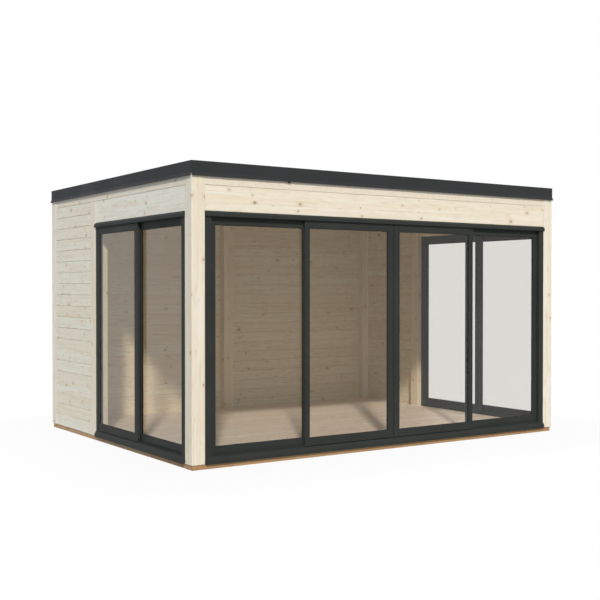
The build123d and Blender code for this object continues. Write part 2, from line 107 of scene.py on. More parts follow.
spruceLook = {
    "cells": (4.4, 9.2, 0.0),  # knot cells a metre: along the grain, across it and through
    "pale": (0.872, 0.855, 0.768, 1.0),
    "warm": (0.80, 0.725, 0.585, 1.0),
    "late": (0.69, 0.57, 0.41, 1.0),
    "knot": (0.17, 0.11, 0.06, 1.0),
    "halo": (0.58, 0.40, 0.22, 1.0),
    "blush": (0.78, 0.66, 0.53, 1.0),
    "knotRadius": 0.018,
    "knotShare": 0.6,
    "knotTone": (0.15, 0.85),  # faintest and strongest knot
    "ring": 0.0034,  # from one growth ring to the next
    "ringShare": 0.06,
    "toneShare": 0.5,
    "streakShare": 0.75,
    "fleckShare": 0.6,
    # painted warm light: a warmer tint multiplied into timber inside the room, standing in for sunlight
    # bounced about it
    "inside": (1.0, 0.945, 0.84, 1.0),
    "rough": (0.5, 0.68),
}
beamLook = dict(
    spruceLook,
    cells=(4.6, 15.0, 0.0),
    pale=(0.905, 0.875, 0.785, 1.0),
    warm=(0.82, 0.715, 0.56, 1.0),
    knotRadius=0.015,
    knotShare=0.5,
    knotTone=(0.45, 0.95),
    toneShare=0.36,
    fleckShare=0.25,
)
# painted light: the side header beams are paler and cooler than the front header, standing in for the cool
# sky light on the sides
paintedSkyLightSideBeamLook = dict(beamLook, pale=(0.886, 0.886, 0.818, 1.0), warm=(0.855, 0.805, 0.68, 1.0))
# painted shade: the plates are darker and pinker than the beams, standing in for the fascia's shadow on the
# strip below it
paintedShadePlateLook = dict(beamLook, pale=(0.84, 0.785, 0.69, 1.0), warm=(0.80, 0.71, 0.58, 1.0))
postLook = dict(
    spruceLook,
    cells=(4.2, 26.0, 26.0),
    pale=(0.895, 0.865, 0.78, 1.0),
    warm=(0.81, 0.70, 0.54, 1.0),
    knotShare=0.6,
    knotTone=(0.5, 0.95),
    knotRadius=0.014,
    toneShare=0.36,
    fleckShare=0.2,
)
floorLook = dict(
    spruceLook,
    pale=(0.97, 0.91, 0.83, 1.0),
    warm=(0.92, 0.79, 0.66, 1.0),
    late=(0.66, 0.50, 0.36, 1.0),
    ringShare=0.14,
    toneShare=1.0,
    streakShare=0.9,
    inside=(1.0, 1.0, 1.0, 1.0),
)
treatedLook = dict(
    beamLook,
    pale=(0.50, 0.32, 0.165, 1.0),
    warm=(0.41, 0.235, 0.11, 1.0),
    late=(0.31, 0.165, 0.075, 1.0),
    knot=(0.13, 0.06, 0.03, 1.0),
    halo=(0.26, 0.13, 0.06, 1.0),
    blush=(0.36, 0.20, 0.10, 1.0),
)


# noise layers of timber: scale along the grain, across it and through, then detail
timberNoise = {
    "wobble": ((90.0, 90.0, 90.0), 2.0),
    "drift": ((0.7, 7.0, 7.0), 3.0),
    "streak": ((1.3, 75.0, 75.0), 4.0),
    "broad": ((0.8, 30.0, 30.0), 2.0),
    "mottle": ((6.0, 30.0, 30.0), 3.0),
    "fibre": ((14.0, 1100.0, 1100.0), 2.0),
    "fleck": ((11.0, 130.0, 130.0), 1.0),
}
# what all timber shares; a step is the range of a value and the range that it is spread over
timberForm = {
    "middle": (0.5, 0.5, 0.5),
    "knotUneven": (0.012, 0.009, 0.009),
    "knotAlong": 0.75,
    "knotPower": 2.2,
    "leastKnot": 0.0006,
    "knotCore": 0.6,
    "haloReach": 3.2,
    "haloShare": 0.3,
    "sway": 0.03,
    "ringStretch": (0.02, 1.0, 1.0),
    "lateStep": (0.45, 0.95, 0.0, 1.0),
    "broadShare": 0.65,
    "driftShare": 0.35,
    "tintStep": (0.38, 0.62, 0.0, 0.85),
    "tintShare": 0.75,
    "mottleStep": (0.47, 0.76, 0.0, 0.7),
    "streakFrom": 0.56,
    "streakTo": 0.80,
    "fleckFrom": 0.63,
    "fleckInside": -0.05,
    "fleckTo": 0.75,
    "fibreStep": (0.3, 0.7, 0.0, 0.06),
    "roughFrom": 0.3,
    "roughTo": 0.7,
    "fibreHeight": 0.6,
    "woodHeight": 0.4,
    "bump": (0.35, 0.0006),
    "gloss": 0.3,
}


# Timber, on each bar's own grain place: along the grain, across it and through, in metres. Growth rings
# are the distance from the pith, pushed aside around knots. Knots are the near parts of random cells
# stretched along the grain. Streaks, fibres and mottling are noise stretched the same way. Timber that
# lies inside the room has a few more flecks and a warmer tint, which is painted warm light standing in
# for the sunlight bounced about the room.
def timberMaterial(name, look):
    material, tree = freshMaterial(name)
    form = timberForm
    grain = put(tree, "Attribute", attribute_name="grain").outputs["Vector"]
    tone = put(tree, "Attribute", attribute_name="tone").outputs["Fac"]
    inside = put(tree, "Attribute", attribute_name="inside").outputs["Fac"]
    layers = {label: noise(tree, grain, *kind).outputs for label, kind in timberNoise.items()}
    streak, fibre = layers["streak"]["Fac"], layers["fibre"]["Fac"]

    cellScale = look["cells"]
    through = tuple(1.0 if scale else 0.0 for scale in cellScale)
    cellPlace = vector(tree, "MULTIPLY", grain, cellScale)
    cells = put(tree, "TexVoronoi", {"Vector": cellPlace, "Scale": 1.0}).outputs
    chance = put(tree, "SeparateColor", {0: cells["Color"]}).outputs
    centre = vector(tree, "DIVIDE", cells["Position"], cellScale)
    wobble = vector(tree, "SUBTRACT", layers["wobble"]["Color"], form["middle"])
    uneven = vector(tree, "MULTIPLY", wobble, form["knotUneven"])
    away = vector(tree, "MULTIPLY", vector(tree, "SUBTRACT", grain, centre), through)
    bent = vector(tree, "MULTIPLY", vector(tree, "ADD", away, uneven), (form["knotAlong"], *through[1:]))
    reach = vector(tree, "LENGTH", bent)
    size = spread(tree, chance[0], 1.0 - look["knotShare"], 1.0, 0.0, 1.0, "LINEAR")
    size = calc(tree, "POWER", size, form["knotPower"])
    radius = calc(tree, "MULTIPLY_ADD", size, look["knotRadius"], form["leastKnot"])
    knot = spread(tree, reach, calc(tree, "MULTIPLY", radius, form["knotCore"]), radius, 1.0, 0.0)
    halo = spread(tree, reach, radius, calc(tree, "MULTIPLY", radius, form["haloReach"]), 1.0, 0.0)
    strength = spread(tree, chance[2], 0.0, 1.0, *look["knotTone"], "LINEAR")

    sway = vector(tree, "SCALE", vector(tree, "SUBTRACT", layers["drift"]["Color"], form["middle"]))
    sway.node.inputs["Scale"].default_value = form["sway"]
    pushed = vector(tree, "MULTIPLY_ADD", away, halo, grain)
    across = vector(tree, "MULTIPLY", vector(tree, "ADD", pushed, sway), form["ringStretch"])
    rings = calc(tree, "FRACT", calc(tree, "DIVIDE", vector(tree, "LENGTH", across), look["ring"]))
    lateWood = calc(tree, "MULTIPLY", spread(tree, rings, *form["lateStep"]), look["ringShare"])

    cloud = calc(tree, "MULTIPLY", layers["drift"]["Fac"], form["driftShare"])
    cloud = calc(tree, "MULTIPLY_ADD", layers["broad"]["Fac"], form["broadShare"], cloud)
    tint = calc(tree, "MULTIPLY", spread(tree, cloud, *form["tintStep"], "LINEAR"), form["tintShare"])
    tint = calc(tree, "MULTIPLY_ADD", tone, look["toneShare"], tint)
    fleckFrom = calc(tree, "MULTIPLY_ADD", inside, form["fleckInside"], form["fleckFrom"])
    fleck = spread(tree, layers["fleck"]["Fac"], fleckFrom, form["fleckTo"], 0.0, look["fleckShare"])
    streaks = spread(tree, streak, form["streakFrom"], form["streakTo"], 0.0, look["streakShare"])
    haloTint = calc(tree, "MULTIPLY", calc(tree, "MULTIPLY", halo, strength), form["haloShare"])
    knotDark = mixed(tree, chance[1], look["knot"], look["halo"])

    colour = mixed(tree, tint, look["pale"], look["warm"])
    colour = mixed(tree, spread(tree, layers["mottle"]["Fac"], *form["mottleStep"]), colour, look["blush"])
    colour = mixed(tree, streaks, colour, look["late"])
    colour = mixed(tree, fleck, colour, look["halo"])
    colour = mixed(tree, lateWood, colour, look["late"])
    colour = mixed(tree, haloTint, colour, look["halo"])
    colour = mixed(tree, calc(tree, "MULTIPLY", knot, strength), colour, knotDark)
    colour = mixed(tree, spread(tree, fibre, *form["fibreStep"]), colour, look["late"])
    # painted warm light: timber inside the room is multiplied by the look's warmer inside tint
    colour = mixed(tree, inside, colour, look["inside"], "MULTIPLY")

    height = calc(tree, "SUBTRACT", form["woodHeight"], lateWood)
    height = calc(tree, "MULTIPLY_ADD", fibre, form["fibreHeight"], height)
    rough = spread(tree, streak, form["roughFrom"], form["roughTo"], *look["rough"])
    finishMaterial(tree, opaque(tree, colour, rough, form["gloss"], bumped(tree, height, *form["bump"])))
    return material


coatLook = {
    "door": {"dark": (0.030, 0.034, 0.032, 1.0), "pale": (0.040, 0.044, 0.041, 1.0)},
    "roof": {"dark": (0.034, 0.0355, 0.0375, 1.0), "pale": (0.042, 0.0435, 0.046, 1.0)},
    "cloud": ((2.6, 2.6, 2.6), 3.0),
    "speck": ((1700.0, 1700.0, 1700.0), 2.0),
    "speckShare": 0.5,
    "shadeStep": (0.3, 0.7, 0.0, 1.0),
    "roughStep": (0.3, 0.7, 0.46, 0.60),
    "bump": (0.12, 0.0003),
    "gloss": 0.06,
}


# Powder coat: a fine even grain in the height, with slow cloudy changes of tone and gloss.
def coatMaterial(name, look):
    material, tree = freshMaterial(name)
    place = put(tree, "TexCoord").outputs["Object"]
    cloud = noise(tree, place, *coatLook["cloud"]).outputs["Fac"]
    speck = noise(tree, place, *coatLook["speck"]).outputs["Fac"]
    share = coatLook["speckShare"]
    shade = calc(tree, "MULTIPLY_ADD", speck, share, calc(tree, "MULTIPLY", cloud, 1.0 - share))
    colour = mixed(tree, spread(tree, shade, *coatLook["shadeStep"]), look["dark"], look["pale"])
    rough = spread(tree, cloud, *coatLook["roughStep"])
    bump = bumped(tree, speck, *coatLook["bump"])
    finishMaterial(tree, opaque(tree, colour, rough, coatLook["gloss"], bump))
    return material


paneLook = {
    "tint": (0.935, 0.931, 0.918, 1.0),
    "gloss": (0.69, 0.695, 0.70, 1.0),
    "facing": 0.038,  # share mirrored where the pane is seen square on
    "power": 5.0,
    "wave": ((1.4, 1.4, 1.4), 1.0),
    "bump": (0.05, 0.002),
    "blend": 0.5,
}


# Glass: a clear see-through pane under a mirror gloss that grows at low angles, faintly uneven.
def paneMaterial(name):
    material, tree = freshMaterial(name)
    place = put(tree, "TexCoord").outputs["Object"]
    bump = bumped(tree, noise(tree, place, *paneLook["wave"]).outputs["Fac"], *paneLook["bump"])
    gloss = put(tree, "BsdfGlossy", {"Color": paneLook["gloss"], "Roughness": 0.0, "Normal": bump})
    clear = put(tree, "BsdfTransparent", {"Color": paneLook["tint"]})
    slope = put(tree, "LayerWeight", {"Blend": paneLook["blend"], "Normal": bump}).outputs["Facing"]
    slope = calc(tree, "POWER", slope, paneLook["power"])
    mirror = calc(tree, "MULTIPLY_ADD", slope, 1.0 - paneLook["facing"], paneLook["facing"])
    shader = put(tree, "MixShader", {0: mirror, 1: clear.outputs[0], 2: gloss.outputs[0]})
    finishMaterial(tree, shader.outputs[0])
    return material


rubberLook = {
    "seal": {"dark": (0.012, 0.012, 0.012, 1.0), "pale": (0.026, 0.026, 0.026, 1.0)},
    "membrane": {"dark": (0.044, 0.045, 0.047, 1.0), "pale": (0.066, 0.067, 0.069, 1.0)},
    "roller": {"dark": (0.10, 0.10, 0.10, 1.0), "pale": (0.16, 0.16, 0.155, 1.0)},
    "dust": ((3.0, 3.0, 3.0), 6.0),
    "pebble": ((420.0, 420.0, 420.0), 2.0),
    "dustStep": (0.35, 0.75, 0.0, 1.0),
    "roughStep": (0.3, 0.7, 0.62, 0.86),
    "bump": (0.25, 0.0006),
    "gloss": 0.3,
}


# Rubber and nylon: matt, with dusty patches and a fine pebbled height.
def rubberMaterial(name, look):
    material, tree = freshMaterial(name)
    place = put(tree, "TexCoord").outputs["Object"]
    dust = noise(tree, place, *rubberLook["dust"]).outputs["Fac"]
    pebble = noise(tree, place, *rubberLook["pebble"]).outputs["Fac"]
    colour = mixed(tree, spread(tree, dust, *rubberLook["dustStep"]), look["dark"], look["pale"])
    rough = spread(tree, dust, *rubberLook["roughStep"])
    bump = bumped(tree, pebble, *rubberLook["bump"])
    finishMaterial(tree, opaque(tree, colour, rough, rubberLook["gloss"], bump))
    return material


finishes = {
    "boards": timberMaterial("spruceBoards", spruceLook),
    "floor": timberMaterial("spruceFloor", floorLook),
    "beams": timberMaterial("spruceBeams", beamLook),
    "sideBeams": timberMaterial("spruceSideBeamsPaintedSkyLight", paintedSkyLightSideBeamLook),
    "plates": timberMaterial("sprucePlatesPaintedShade", paintedShadePlateLook),
    "posts": timberMaterial("sprucePosts", postLook),
    "treated": timberMaterial("treatedBeams", treatedLook),
    "door": coatMaterial("doorCoat", coatLook["door"]),
    "roof": coatMaterial("roofEdgeCoat", coatLook["roof"]),
    "pane": paneMaterial("clearPane"),
    "seal": rubberMaterial("sealRubber", rubberLook["seal"]),
    "membrane": rubberMaterial("roofRubber", rubberLook["membrane"]),
    "roller": rubberMaterial("rollerNylon", rubberLook["roller"]),
}
print("finishes:", len(finishes))


# finish of a CAD node, by the words in its name
def nodeFinish(name):
    if "glass" in name:
        return "pane"
    if "rollers" in name:
        return "roller"
    if "fascia" in name:
        return "roof"
    if "frame" in name or "sash" in name:
        return "door"
    return "boards"


for name, piece in nodes.items():
    piece.data.materials.clear()
    piece.data.materials.append(finishes[nodeFinish(name)])
print("finishes put on the nodes")


# puts points and faces into a mesh at the origin, with the faces as they are given
def meshPiece(name, points, faces, finish, body, values=None):
    mesh = bpy.data.meshes.new(name)
    mesh.from_pydata(points.reshape(-1, 3), [], faces)
    for label, (kind, field, data) in (values or {}).items():
        mesh.attributes.new(label, kind, "POINT").data.foreach_set(field, data.astype(np.float32).ravel())
    mesh.update()
    mesh.validate()
    piece = bpy.data.objects.new(name, mesh)
    bpy.context.scene.collection.objects.link(piece)
    piece.data.materials.append(finishes[finish])
    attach(piece, body)
    return piece


# the points of a node's mesh as rows
def nodePoints(name):
    mesh = nodes[name].data
    data = np.empty(len(mesh.vertices) * 3, np.float32)
    mesh.vertices.foreach_get("co", data)
    return data.reshape(-1, 3)


# boxes of a node's loose pieces: in each piece the lowest point number spreads along the edges
def looseBoxes(name):
    mesh = nodes[name].data
    points, number = np.unique(nodePoints(name).round(5), axis=0, return_inverse=True)
    ends = np.empty(len(mesh.edges) * 2, np.int32)
    mesh.edges.foreach_get("vertices", ends)
    ends = number.ravel()[ends].reshape(-1, 2)
    label = np.arange(len(points))
    settled = False
    while not settled:
        wider = label.copy()
        np.minimum.at(wider, ends[:, 0], label[ends[:, 1]])
        np.minimum.at(wider, ends[:, 1], label[ends[:, 0]])
        settled = (wider == label).all()
        label = wider
    pieces = [points[label == one] for one in np.unique(label)]
    return np.array([(piece.min(0), piece.max(0)) for piece in pieces])


# faces of many bars at once: a closed outline of rim points, carried over a row of stations
def barFaces(count, stations, rim, flip):
    start = np.arange(count)[:, None, None] * stations * rim
    step = np.arange(stations - 1)[None, :, None] * rim
    around = np.arange(rim)[None, None, :]
    near = start + step + around
    far = start + step + (around + 1) % rim
    sides = np.stack((near, far, far + rim, near + rim), axis=-1).reshape(-1, 4)
    first = start[:, 0] + np.arange(rim)[None, ::-1]
    last = start[:, 0] + (stations - 1) * rim + np.arange(rim)[None, :]
    if flip:
        sides, first, last = sides[:, ::-1], first[:, ::-1], last[:, ::-1]
    return sides.tolist() + first.tolist() + last.tolist()


boardForm = {"nibParts": 8, "taperParts": 3}  # half tongue in the thickness, taper in the half tongue


# Outline of a tongued and grooved board, as (across, deep) points: the arrises of both faces are
# eased, the tongue stands on the far edge and the groove in the near edge takes the next tongue.
# The face and the back have an ease and a gap each.
def boardOutline(width, thick, look, tongue):
    width, tongue = np.broadcast_arrays(np.asarray(width, float), np.asarray(tongue, float))
    flat = np.zeros_like(width)
    (ease, gap), (backEase, backGap) = look["face"], look["back"]
    near, far = flat + gap / 2, width - gap / 2
    backNear, backFar = flat + backGap / 2, width - backGap / 2
    half = thick / 2
    nib = thick / boardForm["nibParts"]
    taper = nib / boardForm["taperParts"]
    groove = tongue + gap
    points = [
        (near + ease, 0), (far - ease, 0), (far, ease), (far, half - nib),
        (far + tongue, half - nib + taper), (far + tongue, half + nib - taper),
        (backFar, half + nib), (backFar, thick - backEase),
        (backFar - backEase, thick), (backNear + backEase, thick),
        (backNear, thick - backEase), (backNear, half + nib + gap), (near + groove, half + nib + gap - taper),
        (near + groove, half - nib - gap + taper), (near, half - nib - gap), (near, ease),
    ]
    return np.stack([np.stack((across, flat + deep), -1) for across, deep in points], axis=1)


# Boards: each outline is carried from start to end along its own line. The grain place is the
# place within the board, moved by a random amount so that no two boards share rings or knots.
# Points that lie within the room are marked as inside.
def boards(outlines, corners, lengths, along, across, deep, seed):
    count, rim = outlines.shape[:2]
    along, across, deep = (np.array(way, float) for way in (along, across, deep))
    run = np.stack((np.zeros(count), lengths), axis=1)
    flatPart = outlines[..., :1] * across + outlines[..., 1:] * deep
    points = corners[:, None, None, :] + flatPart[:, None] + run[:, :, None, None] * along
    draw = np.random.default_rng(seed)
    shift = draw.uniform(*bars["shift"], (count, 3))
    local = np.empty((count, 2, rim, 3))
    local[..., 0] = run[:, :, None]
    local[..., 1:] = outlines[:, None]
    grain = local + shift[:, None, None]
    tone = np.broadcast_to(draw.uniform(0.0, 1.0, (count, 1, 1)), (count, 2, rim))
    flip = np.dot(np.cross(across, deep), along) > 0
    inside = (np.abs(points[..., :2]) < bars["room"]).all(axis=-1)
    values = {
        "grain": ("FLOAT_VECTOR", "vector", grain),
        "tone": ("FLOAT", "value", tone),
        "inside": ("FLOAT", "value", inside),
    }
    return points, barFaces(count, 2, rim, flip), values


bars = {
    "room": (1.945, 1.47),  # points nearer the middle than this, along x and y, lie inside the room
    "shift": ((0.0, -0.09, 0.01), (60.0, 0.03, 0.10)),  # least and most, in the grain's three ways
    "steps": 4,
    "ways": ((2, 1), (2, 0), (0, 1)),  # axes across and through a bar along x, y or z
    # open seams: how far the low and high ends of a node's bars stand back, along x, y and z
    "seams": {
        "front_header_beam": ((0.0015, 0.0, 0.0), (0.0015, 0.0, 0.0)),
        "side_header_beams": ((0.0, 0.0015, 0.0), (0.0, 0.0015, 0.0)),
        "back_beam": ((0.0015, 0.0, 0.0), (0.0015, 0.0, 0.0)),
        "top_plates": ((0.0, 0.0, 0.002), (0.0, 0.0, 0.0)),
    },
    # node: finish, slot, arris radius, seed
    "nodes": {
        "base_long_beams": ("treated", "base_timber", 0.003, 41),
        "base_cross_beams": ("treated", "base_timber", 0.003, 42),
        "front_corner_posts": ("posts", "wall_timber", 0.0035, 43),
        "back_corner_posts": ("posts", "wall_timber", 0.002, 44),
        "wall_posts": ("posts", "wall_timber", 0.002, 45),
        "front_header_beam": ("beams", "wall_timber", 0.004, 46),
        "side_header_beams": ("sideBeams", "wall_timber", 0.004, 47),
        "back_beam": ("beams", "wall_timber", 0.004, 48),
        "top_plates": ("plates", "wall_timber", 0.004, 49),
        "roof_rafters": ("beams", "wall_timber", 0.003, 50),
        "roof_kerb": ("plates", "wall_timber", 0.002, 51),
    },
}


# outline of a bar with rounded arrises: quarter turns about four centres, as (across, through) points,
# starting with the third quarter at the near corner
def roundedOutline(width, thick, radius):
    turn = np.linspace(0.0, math.pi / 2, bars["steps"])
    quarters = turn + np.arange(2, 6)[:, None] * math.pi / 2
    away = radius * np.stack((np.cos(quarters), np.sin(quarters)), axis=-1)
    nearX, nearY = np.full_like(width, radius), np.full_like(thick, radius)
    farX, farY = width - radius, thick - radius
    centres = [(nearX, nearY), (farX, nearY), (farX, farY), (nearX, farY)]
    centres = np.stack([np.stack(pair, axis=-1) for pair in centres], axis=1)
    return (centres[:, :, None] + away).reshape(len(width), -1, 2)


# bars: a rounded outline is carried along the longest side of each box of a node
for node, (finish, slot, radius, seed) in bars["nodes"].items():
    boxes = looseBoxes(node)
    if node in bars["seams"]:
        boxes = boxes + np.array(bars["seams"][node]) * ((1.0,), (-1.0,))
    sizes = boxes[:, 1] - boxes[:, 0]
    axis = int(sizes[0].argmax())
    across, through = bars["ways"][axis]
    outlines = roundedOutline(sizes[:, across], sizes[:, through], radius)
    ways = np.eye(3)[[axis, across, through]]
    points, faces, values = boards(outlines, boxes[:, 0], sizes[:, axis], *ways, seed)
    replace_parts(meshPiece(f"{node}_bars", points, faces, finish, "room", values), node)
print("bars:", len(bars["nodes"]), "nodes")

wallBoards = {
    "courses": 20,
    "thick": 0.028,
    "ease": (0.0032, 0.0019),  # arris of the face and the back
    "gaps": (0.0004, 0.0030),  # narrowest and widest joint in the face
    "backGap": 0.0010,
    "tongue": 0.007,
    "backPostHalf": 0.057,
    "bite": 0.0117,
    "swell": 0.0024,  # how far the boards stand out past the slab, still behind the posts
    "seeds": {"left": 11, "right": 12, "backLeft": 13, "backRight": 14},
}


# one boarded bay: the courses are stacked from its foot, and the top one has no tongue
def boardedBay(name, corner, length, height, courses, along, deep, seed):
    pitch = height / courses
    tongue = np.full(courses, wallBoards["tongue"])
    tongue[-1] = 0.0
    ease, backEase = wallBoards["ease"]
    gaps = np.random.default_rng(seed).uniform(*wallBoards["gaps"], courses)
    look = {"face": (ease, gaps), "back": (backEase, wallBoards["backGap"])}
    outlines = boardOutline(np.full(courses, pitch), wallBoards["thick"], look, tongue)
    corners = np.array(corner, float) + np.arange(courses)[:, None] * np.array((0.0, 0.0, pitch))
    lengths = np.full(courses, length)
    points, faces, values = boards(outlines, corners, lengths, along, (0, 0, 1), deep, seed)
    return meshPiece(name, points, faces, "boards", "room", values)


# the slabs bite into grooves in the posts, and the boards stop at the posts
bite = wallBoards["bite"]
low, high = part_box("side_wall_boards")
wallHeight = high.z - low.z
swell = wallBoards["swell"]
for side, x, deep in (("left", low.x - swell, (1, 0, 0)), ("right", high.x + swell, (-1, 0, 0))):
    bay = boardedBay(
        f"{side}_wall_courses", (x, low.y + bite, low.z), high.y - low.y - 2 * bite, wallHeight,
        wallBoards["courses"], (0, 1, 0), deep, wallBoards["seeds"][side],
    )
    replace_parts(bay, "side_wall_boards")

low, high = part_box("back_wall_boards")
coursePitch = wallHeight / wallBoards["courses"]
backCourses = round((high.z - low.z) / coursePitch)
bayEnd = wallBoards["backPostHalf"]
for side, start, stop, key in (
    ("right", bayEnd, high.x - bite, "backRight"),
    ("left", low.x + bite, -bayEnd, "backLeft"),
):
    bay = boardedBay(
        f"back_{side}_wall_courses", (start, high.y + swell, low.z), stop - start, high.z - low.z,
        backCourses, (1, 0, 0), (0, -1, 0), wallBoards["seeds"][key],
    )
    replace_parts(bay, "back_wall_boards")
print("wall boards:", wallBoards["courses"], "courses a side")

floorBoards = {
    "width": 0.116,
    "face": (0.0022, 0.0010),
    "back": (0.0016, 0.0006),
    "tongue": 0.006,
    "seed": 21,
    "postHalf": 0.0573,  # of the back's middle post, with its gap
    "clear": 0.0003,
}

# floor rows: the boards run across the room, and rows start and end at the posts
low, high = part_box("floor_deck")
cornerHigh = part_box("front_corner_posts")[1]
backLow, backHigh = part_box("back_corner_posts")
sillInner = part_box("left_frame_sill")[1].x
clear = floorBoards["clear"]
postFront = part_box("left_frame_sill")[1].y
postDepth = backHigh.y - backLow.y
betweenPosts = cornerHigh.x - postDepth - clear
breaks = [
    (low.y, cornerHigh.y + clear, betweenPosts),
    (cornerHigh.y + clear, postFront, -sillInner - clear),
    (postFront, postFront + postDepth + 2 * clear, betweenPosts),
    (postFront + postDepth + 2 * clear, backLow.y - clear, high.x),
    (backLow.y - clear, high.y, betweenPosts),
]
rows = []
for start, stop, reach in breaks:
    count = max(1, round((stop - start) / floorBoards["width"]))
    width = (stop - start) / count
    rows += [(start + index * width, width, -reach, reach) for index in range(count)]
lastStart, lastWidth, left, right = rows.pop()
rows.append((lastStart, lastWidth, left, -floorBoards["postHalf"]))
rows.append((lastStart, lastWidth, floorBoards["postHalf"], right))
rows = np.array(rows)
tongue = np.where(rows[:, 0] + rows[:, 1] < high.y - clear, floorBoards["tongue"], 0.0)
outlines = boardOutline(rows[:, 1], high.z - low.z, floorBoards, tongue)
corners = np.stack((rows[:, 2], rows[:, 0], np.full(len(rows), high.z)), axis=1)
points, faces, values = boards(
    outlines, corners, rows[:, 3] - rows[:, 2], (1, 0, 0), (0, 1, 0), (0, 0, -1), floorBoards["seed"]
)
floor = meshPiece("floor_boards", points, faces, "floor", "room", values)
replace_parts(floor, "floor_deck")
print("floor boards:", len(rows))

roofBoards = {"width": 0.12, "face": (0.003, 0.0006), "back": (0.003, 0.0006), "tongue": 0.006, "seed": 31}

# roof boards lie over the rafters and show from inside the room
low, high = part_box("roof_deck")
count = round((high.y - low.y) / roofBoards["width"])
width = (high.y - low.y) / count
tongue = np.full(count, roofBoards["tongue"])
tongue[-1] = 0.0
outlines = boardOutline(np.full(count, width), high.z - low.z, roofBoards, tongue)
corners = np.stack((np.full(count, low.x), low.y + np.arange(count) * width, np.full(count, low.z)), axis=1)
points, faces, values = boards(
    outlines, corners, np.full(count, high.x - low.x), (1, 0, 0), (0, 1, 0), (0, 0, 1), roofBoards["seed"]
)
roofDeck = meshPiece("roof_boards", points, faces, "boards", "room", values)
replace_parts(roofDeck, "roof_deck")
print("roof boards:", count)

membrane = {
    "skin": 0.003,
    "rise": 0.03,
    "cove": 0.02,
    "lapWidth": 0.06,
    "lapHeight": 0.0026,
    "lapEdge": 0.002,
    "laps": (-0.98, 0.0, 0.98),
    "sag": 0.0006,
    "waves": ((5.1, 2.3), (2.2, -6.7)),  # of the sag, along x and y
    "under": 0.0002,
    "cells": 40,
    "turns": 6,
}


# one way across the roof skin: places and lifts, flat in the middle and turned up at both ends
def trayLine(reach, extra):
    turn = np.linspace(0.0, math.pi / 2, membrane["turns"])
    cove = membrane["cove"]
    edge = reach - cove + cove * np.sin(turn)
    lift = cove * (1 - np.cos(turn))
    edge = np.append(edge, reach)
    lift = np.append(lift, membrane["rise"])
    flat = np.linspace(-reach + cove, reach - cove, membrane["cells"])[1:-1]
    flat = np.sort(np.concatenate((flat, extra)))
    places = np.concatenate((-edge[::-1], flat, edge))
    lifts = np.concatenate((lift[::-1], np.zeros(len(flat)), lift))
    return places, lifts


# Roof skin: a tray over the deck, turned up against the kerb, with a raised band at each lap and a
# slow sag between. The height is the larger of the two edge lifts.
low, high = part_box("roof_membrane")
laps = np.array(membrane["laps"])
lapEdge = membrane["lapEdge"]
lapEnds = laps + membrane["lapWidth"]
lapLines = np.concatenate((laps, laps + lapEdge, lapEnds, lapEnds + lapEdge))
xs, liftX = trayLine(high.x - membrane["skin"], lapLines)
ys, liftY = trayLine(high.y - membrane["skin"], np.array([]))
gridX, gridY = np.meshgrid(xs, ys, indexing="ij")
lift = np.maximum(liftX[:, None], liftY[None, :])
offset = gridX[..., None] - laps - lapEdge / 2
band = ((offset > 0) & (offset < membrane["lapWidth"])).any(axis=-1)
waves = [np.sin(gridX * waveX + gridY * waveY) for waveX, waveY in membrane["waves"]]
sag = membrane["sag"] * (waves[0] + waves[1] - 2.0) / 2
flatPart = np.where(lift > 0, 0.0, 1.0)
gridZ = high.z + lift + flatPart * (band * membrane["lapHeight"] + sag)
points = np.stack((gridX, gridY, gridZ), axis=-1)
index = np.arange(gridX.size).reshape(gridX.shape)
faces = np.stack((index[:-1, :-1], index[1:, :-1], index[1:, 1:], index[:-1, 1:]), axis=-1).reshape(-1, 4)
skin = meshPiece("roof_skin", points, faces.tolist(), "membrane", "room")
thicken = skin.modifiers.new("skin", "SOLIDIFY")
thicken.thickness = membrane["skin"] - membrane["under"]
thicken.offset = -1.0
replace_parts(skin, "roof_membrane")
print("roof skin:", len(faces), "faces")

fasciaClip = {
    "middle": -1.09,
    "half": 0.009,
    "setBack": 0.0015,
    "deep": 0.012,
    "drop": 0.010,
    "lap": 0.004,
    "round": 0.002,
    "seed": 61,
}

# clip under the drip edge where two lengths of the front fascia meet: a rounded bar
low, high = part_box("front_fascia")
tall = np.array([fasciaClip["drop"] + fasciaClip["lap"]])
outlines = roundedOutline(tall, np.array([fasciaClip["deep"]]), fasciaClip["round"])
corners = np.array([(
    fasciaClip["middle"] - fasciaClip["half"], low.y + fasciaClip["setBack"], low.z - fasciaClip["drop"],
)])
points, faces = boards(
    outlines, corners, np.array([2 * fasciaClip["half"]]), (1, 0, 0), (0, 0, 1), (0, 1, 0), fasciaClip["seed"]
)[:2]
meshPiece("front_fascia_clip", points, faces, "roof", "room")
print("fascia clip")

sillLips = {
    "nose": 0.004,  # the nose's foot over the sill's foot
    "drop": 0.0075,
    "lap": 0.003,
    "setBack": 0.0006,
    "thick": 0.005,
    "round": 0.0012,
    "seed": 62,
    # side: ways along the sill and inwards
    "ways": {
        "front": ((1, 0, 0), (0, 1, 0)),
        "left": ((0, 1, 0), (1, 0, 0)),
        "right": ((0, 1, 0), (-1, 0, 0)),
    },
}

# drip lips under the noses of the sills: a rounded bar along each
tall = np.array([sillLips["drop"] + sillLips["lap"]])
outlines = roundedOutline(tall, np.array([sillLips["thick"]]), sillLips["round"])
for side, (along, inward) in sillLips["ways"].items():
    low, high = (np.array(corner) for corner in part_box(f"{side}_frame_sill"))
    inward = np.array(inward)
    outer = np.where(inward < 0, high, low)
    outer[2] = low[2] + sillLips["nose"] - sillLips["drop"]
    corners = (outer + inward * sillLips["setBack"])[None]
    run = np.array([np.dot(high - low, along)])
    points, faces = boards(outlines, corners, run, along, (0, 0, 1), inward, sillLips["seed"])[:2]
    meshPiece(f"{side}_sill_lip", points, faces, "door", "room")
print("sill lips:", len(sillLips["ways"]))

